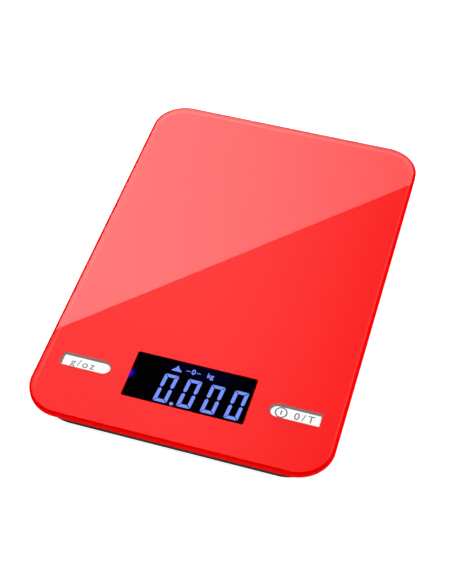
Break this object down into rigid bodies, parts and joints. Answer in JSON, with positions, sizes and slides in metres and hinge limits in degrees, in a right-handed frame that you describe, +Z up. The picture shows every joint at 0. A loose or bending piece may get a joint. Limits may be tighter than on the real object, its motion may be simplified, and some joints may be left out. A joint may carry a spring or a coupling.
{
  "type": "kitchen scale",
  "caption": "Slim rectangular kitchen scale: printed glass platform with a backlit display and push keys over a shallow plastic base on load-sensing feet.",
  "frame": {"origin": "on the table, under the centre of the glass platform's outline", "axes": "+Z up out of the weighing surface; -Y towards the user and the display edge; +X to the user's right, along the platform's width"},
  "size_m": [0.15, 0.22, 0.017],
  "materials": {
    "glass": "clear float glass with polished bevels",
    "print": "even screen-printed coat under the glass",
    "gasket": "closed-cell foam tape",
    "pad_foam": "foam tape",
    "housing": "fine spark-eroded texture",
    "sensor_steel": "blanked spring steel",
    "gauge_sealant": "white silicone over the gauge",
    "clip_steel": "zinc-plated",
    "screw_steel": "zinc-plated",
    "foot": "fine texture",
    "foot_rubber": "soft matt rubber",
    "lead_red": "insulated wire",
    "lead_black": "insulated wire",
    "board": "solder mask",
    "chip_resin": "resin blob",
    "capacitor": "ceramic",
    "lcd_glass": "thin clear glass",
    "polariser": "dark film",
    "light_guide": "clear acrylic",
    "led": "blue emitter",
    "contact_rubber": "striped silicone",
    "frame_plastic": "moulded",
    "key_white": "white moulded, low gloss",
    "switch_plastic": "moulded",
    "dome_steel": "snap dome",
    "plunger_plastic": "moulded",
    "terminal_tin": "tinned",
    "cover": "fine texture",
    "cell_steel": "nickel-plated",
    "contact_metal": "spring bronze, plated"
  },
  "bodies": {
    "scale": {"glass_platform": "glass", "platform_print": "print", "platform_gasket": "gasket", "support_pads": "pad_foam", "base_housing": "housing", "load_sensor_front_left": "sensor_steel", "load_sensor_front_right": "sensor_steel", "load_sensor_rear_left": "sensor_steel", "load_sensor_rear_right": "sensor_steel", "strain_gauge_front_left": "gauge_sealant", "strain_gauge_front_right": "gauge_sealant", "strain_gauge_rear_left": "gauge_sealant", "strain_gauge_rear_right": "gauge_sealant", "sensor_clip_front_left": "clip_steel", "sensor_clip_front_right": "clip_steel", "sensor_clip_rear_left": "clip_steel", "sensor_clip_rear_right": "clip_steel", "sensor_screws": "screw_steel", "sensor_leads_front_left": "lead_red", "sensor_leads_front_right": "lead_red", "sensor_leads_rear_left": "lead_red", "sensor_leads_rear_right": "lead_red", "circuit_board": "board", "controller": "chip_resin", "board_capacitors": "capacitor", "lcd_cell": "lcd_glass", "lcd_front_polariser": "polariser", "lcd_rear_polariser": "polariser", "light_guide": "light_guide", "backlight_led": "led", "contact_strip": "contact_rubber", "display_frame": "frame_plastic", "display_screws": "screw_steel", "unit_switch_body": "switch_plastic", "unit_switch_dome": "dome_steel", "tare_switch_body": "switch_plastic", "tare_switch_dome": "dome_steel", "switch_terminals": "terminal_tin", "coin_cell": "cell_steel", "battery_contact_positive": "contact_metal", "battery_contact_negative": "contact_metal", "battery_leads": "lead_black"},
    "foot_assembly_front_left": {"foot_front_left": "foot", "foot_pad_front_left": "foot_rubber"},
    "foot_assembly_front_right": {"foot_front_right": "foot", "foot_pad_front_right": "foot_rubber"},
    "foot_assembly_rear_left": {"foot_rear_left": "foot", "foot_pad_rear_left": "foot_rubber"},
    "foot_assembly_rear_right": {"foot_rear_right": "foot", "foot_pad_rear_right": "foot_rubber"},
    "unit_key_assembly": {"unit_key": "key_white", "unit_switch_plunger": "plunger_plastic"},
    "tare_key_assembly": {"tare_key": "key_white", "tare_switch_plunger": "plunger_plastic"},
    "cover": {"battery_cover": "cover"}
  },
  "joints": [
    {"name": "foot_travel_front_left", "type": "slide", "parent": "scale", "child": "foot_assembly_front_left", "axis": [0, 0, 1], "range_m": [0, 0.0003], "stiffness_N_per_m": 12000},
    {"name": "foot_travel_front_right", "type": "slide", "parent": "scale", "child": "foot_assembly_front_right", "axis": [0, 0, 1], "range_m": [0, 0.0003], "stiffness_N_per_m": 12000},
    {"name": "foot_travel_rear_left", "type": "slide", "parent": "scale", "child": "foot_assembly_rear_left", "axis": [0, 0, 1], "range_m": [0, 0.0003], "stiffness_N_per_m": 12000},
    {"name": "foot_travel_rear_right", "type": "slide", "parent": "scale", "child": "foot_assembly_rear_right", "axis": [0, 0, 1], "range_m": [0, 0.0003], "stiffness_N_per_m": 12000},
    {"name": "unit_key_press", "type": "slide", "parent": "scale", "child": "unit_key_assembly", "axis": [0, 0, -1], "range_m": [0, 0.0003], "stiffness_N_per_m": 5000},
    {"name": "tare_key_press", "type": "slide", "parent": "scale", "child": "tare_key_assembly", "axis": [0, 0, -1], "range_m": [0, 0.0003], "stiffness_N_per_m": 5000},
    {"name": "battery_cover_hinge", "type": "hinge", "parent": "scale", "child": "cover", "pos_m": [0, 0.028, 0.0055], "axis": [1, 0, 0], "range_deg": [0, 90]}
  ]
}
